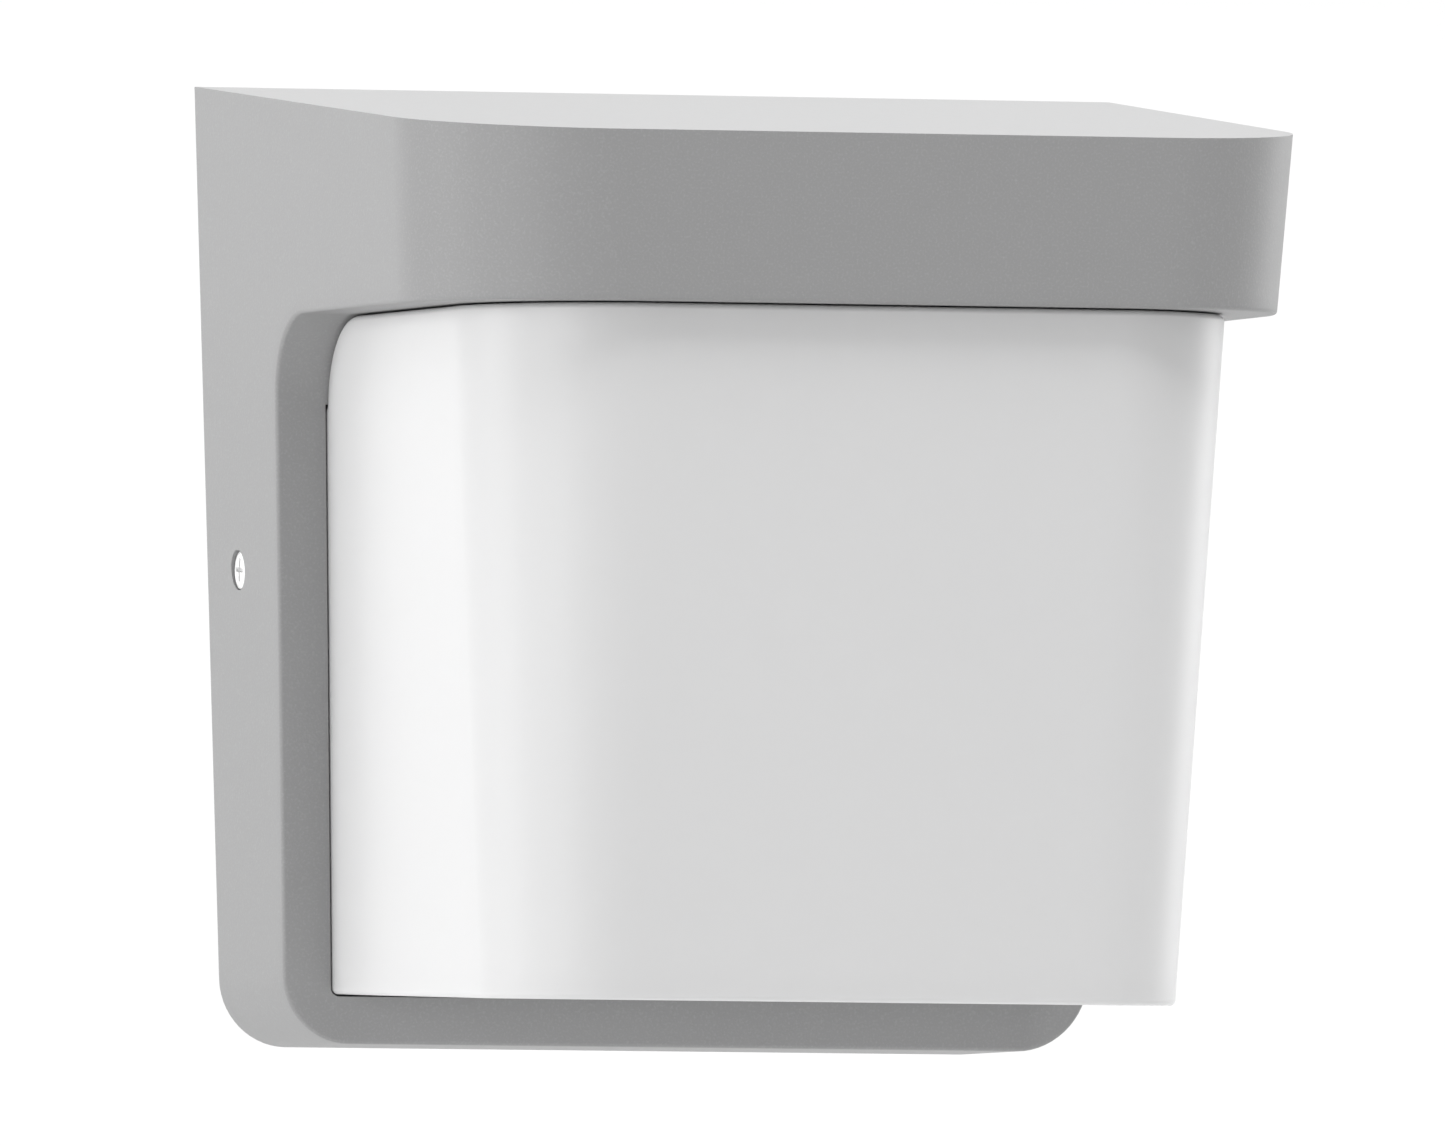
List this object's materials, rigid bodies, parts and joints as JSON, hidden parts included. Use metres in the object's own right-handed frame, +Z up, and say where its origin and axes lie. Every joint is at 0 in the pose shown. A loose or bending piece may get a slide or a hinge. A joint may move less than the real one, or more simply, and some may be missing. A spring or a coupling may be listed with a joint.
{
  "type": "outdoor wall lantern",
  "caption": "Boxy outdoor wall lantern: cast housing with a deep rounded hood over an opal diffuser, on a wall bracket with a screw-in lamp inside.",
  "frame": {"origin": "on the back of the wall bracket, in the plane of the wall, centred sideways and level with the two side lock screws", "axes": "+Z up, -Y straight out from the wall towards the room side, +X to the right seen from in front"},
  "size_m": [0.2, 0.16, 0.199],
  "materials": {
    "grey_powder_coat": "die-cast, painted with a fine matt grey powder coat",
    "opal_plastic": "satin opal acrylic",
    "black_rubber": "matt",
    "zinc_steel": "zinc plated",
    "stainless_steel": "bright",
    "brass": "bare",
    "nickel_plate": "nickel plated",
    "white_ceramic": "glazed porcelain",
    "white_plastic": "moulded",
    "lamp_opal": "frosted",
    "black_glass": "black glass insulator",
    "natural_nylon": "natural nylon",
    "brown_sleeve": "PVC insulation",
    "blue_sleeve": "PVC insulation",
    "green_yellow_sleeve": "PVC insulation, green with a yellow stripe"
  },
  "bodies": {
    "wall_side": {"wall_bracket": "zinc_steel", "cable_grommet": "black_rubber", "lamp_holder_body": "white_ceramic", "lamp_holder_shell": "brass", "lamp_holder_contact": "brass", "holder_screw_left": "stainless_steel", "holder_screw_right": "stainless_steel", "terminal_block": "white_plastic", "terminal_screw_live_mains": "brass", "terminal_screw_live_lamp": "brass", "terminal_screw_neutral_mains": "brass", "terminal_screw_neutral_lamp": "brass", "terminal_screw_earth_mains": "brass", "terminal_screw_earth_lamp": "brass", "block_screw_left": "stainless_steel", "block_screw_right": "stainless_steel", "earth_screw": "stainless_steel", "earth_washer": "zinc_steel", "earth_lug": "brass", "live_lead": "brown_sleeve", "neutral_lead": "blue_sleeve", "earth_lead": "green_yellow_sleeve"},
    "housing": {"housing_casting": "grey_powder_coat", "wall_seal": "black_rubber", "opal_diffuser": "opal_plastic", "diffuser_gasket": "black_rubber", "diffuser_clip_lower_left": "zinc_steel", "diffuser_clip_lower_right": "zinc_steel", "diffuser_clip_upper_left": "zinc_steel", "diffuser_clip_upper_right": "zinc_steel", "clip_screw_lower_left": "stainless_steel", "clip_screw_lower_right": "stainless_steel", "clip_screw_upper_left": "stainless_steel", "clip_screw_upper_right": "stainless_steel"},
    "left_lock_washer": {"lock_washer_left": "natural_nylon"},
    "left_lock_screw": {"lock_screw_left": "stainless_steel"},
    "right_lock_washer": {"lock_washer_right": "natural_nylon"},
    "right_lock_screw": {"lock_screw_right": "stainless_steel"},
    "lamp_contact": {"lamp_centre_contact": "nickel_plate"},
    "lamp": {"lamp_insulator": "black_glass", "lamp_cap": "nickel_plate", "lamp_skirt": "white_plastic", "lamp_globe": "lamp_opal"}
  },
  "joints": [
    {"name": "housing_pull", "type": "slide", "parent": "wall_side", "child": "housing", "axis": [0, -1, 0], "range_m": [0, 0.165]},
    {"name": "left_lock_travel", "type": "slide", "parent": "housing", "child": "left_lock_washer", "axis": [-1, 0, 0], "range_m": [0, 0.0035]},
    {"name": "left_lock_turn", "type": "hinge", "parent": "left_lock_washer", "child": "left_lock_screw", "pos_m": [-0.089, -0.02, 0], "axis": [-1, 0, 0], "range_deg": [0, 1800]},
    {"name": "right_lock_travel", "type": "slide", "parent": "housing", "child": "right_lock_washer", "axis": [1, 0, 0], "range_m": [0, 0.0035]},
    {"name": "right_lock_turn", "type": "hinge", "parent": "right_lock_washer", "child": "right_lock_screw", "pos_m": [0.089, -0.02, 0], "axis": [1, 0, 0], "range_deg": [0, 1800]},
    {"name": "lamp_travel", "type": "slide", "parent": "wall_side", "child": "lamp_contact", "axis": [0, -1, 0], "range_m": [0, 0.02358]},
    {"name": "lamp_turn", "type": "hinge", "parent": "lamp_contact", "child": "lamp", "pos_m": [0, -0.06, -0.012], "axis": [0, -1, 0], "range_deg": [0, 2340]}
  ],
  "couplings": [
    {"joint": "left_lock_turn", "follows": "left_lock_travel", "rad_per_m": 8976},
    {"joint": "right_lock_turn", "follows": "right_lock_travel", "rad_per_m": 8976},
    {"joint": "lamp_turn", "follows": "lamp_travel", "rad_per_m": 1731.4}
  ]
}
